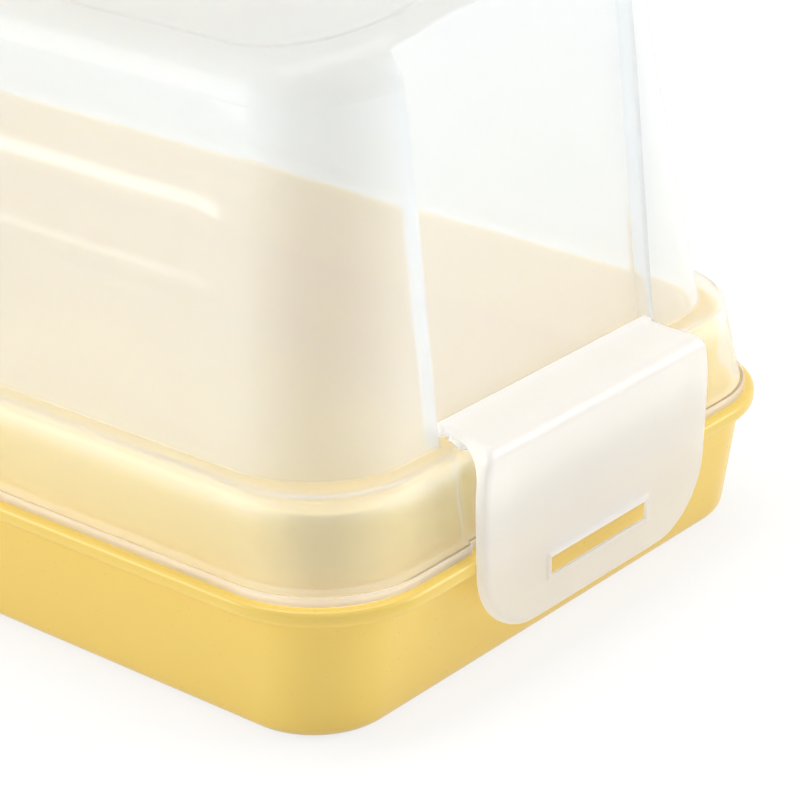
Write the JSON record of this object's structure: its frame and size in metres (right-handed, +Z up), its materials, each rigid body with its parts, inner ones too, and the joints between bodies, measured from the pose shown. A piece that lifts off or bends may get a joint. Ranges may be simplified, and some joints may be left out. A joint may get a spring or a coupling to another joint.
{
  "type": "cake container",
  "caption": "Long low cake keeper: an opaque tray with a rim, a clear domed cover that stands on it, and a swinging latch with a hook and a slot at each short end.",
  "frame": {"origin": "middle of the bottom of the closed container, on the surface it stands on", "axes": "+Z up, +X the long way towards the right latch, +Y across"},
  "size_m": [0.387, 0.172, 0.1464],
  "materials": {
    "tray_plastic": "satin moulded plastic, opaque yellow",
    "clear_plastic": "clear moulded plastic, slightly hazy",
    "milky_plastic": "milky translucent moulded plastic"
  },
  "bodies": {
    "tray_body": {"tray": "tray_plastic"},
    "cover_body": {"cover": "clear_plastic"},
    "right_latch_body": {"right_latch": "milky_plastic"},
    "left_latch_body": {"left_latch": "milky_plastic"}
  },
  "joints": [
    {"name": "cover_lift", "type": "slide", "parent": "tray_body", "child": "cover_body", "axis": [0, 0, 1], "range_m": [0, 0.022]},
    {"name": "right_latch_hinge", "type": "hinge", "parent": "cover_body", "child": "right_latch_body", "pos_m": [0.17752, 0, 0.0588], "axis": [0, -1, 0], "range_deg": [0, 80]},
    {"name": "left_latch_hinge", "type": "hinge", "parent": "cover_body", "child": "left_latch_body", "pos_m": [-0.17752, 0, 0.0588], "axis": [0, 1, 0], "range_deg": [0, 80]}
  ],
  "couplings": [
    {"joint": "right_latch_hinge", "follows": "cover_lift", "rad_per_m": 63.46},
    {"joint": "left_latch_hinge", "follows": "cover_lift", "rad_per_m": 63.46}
  ]
}
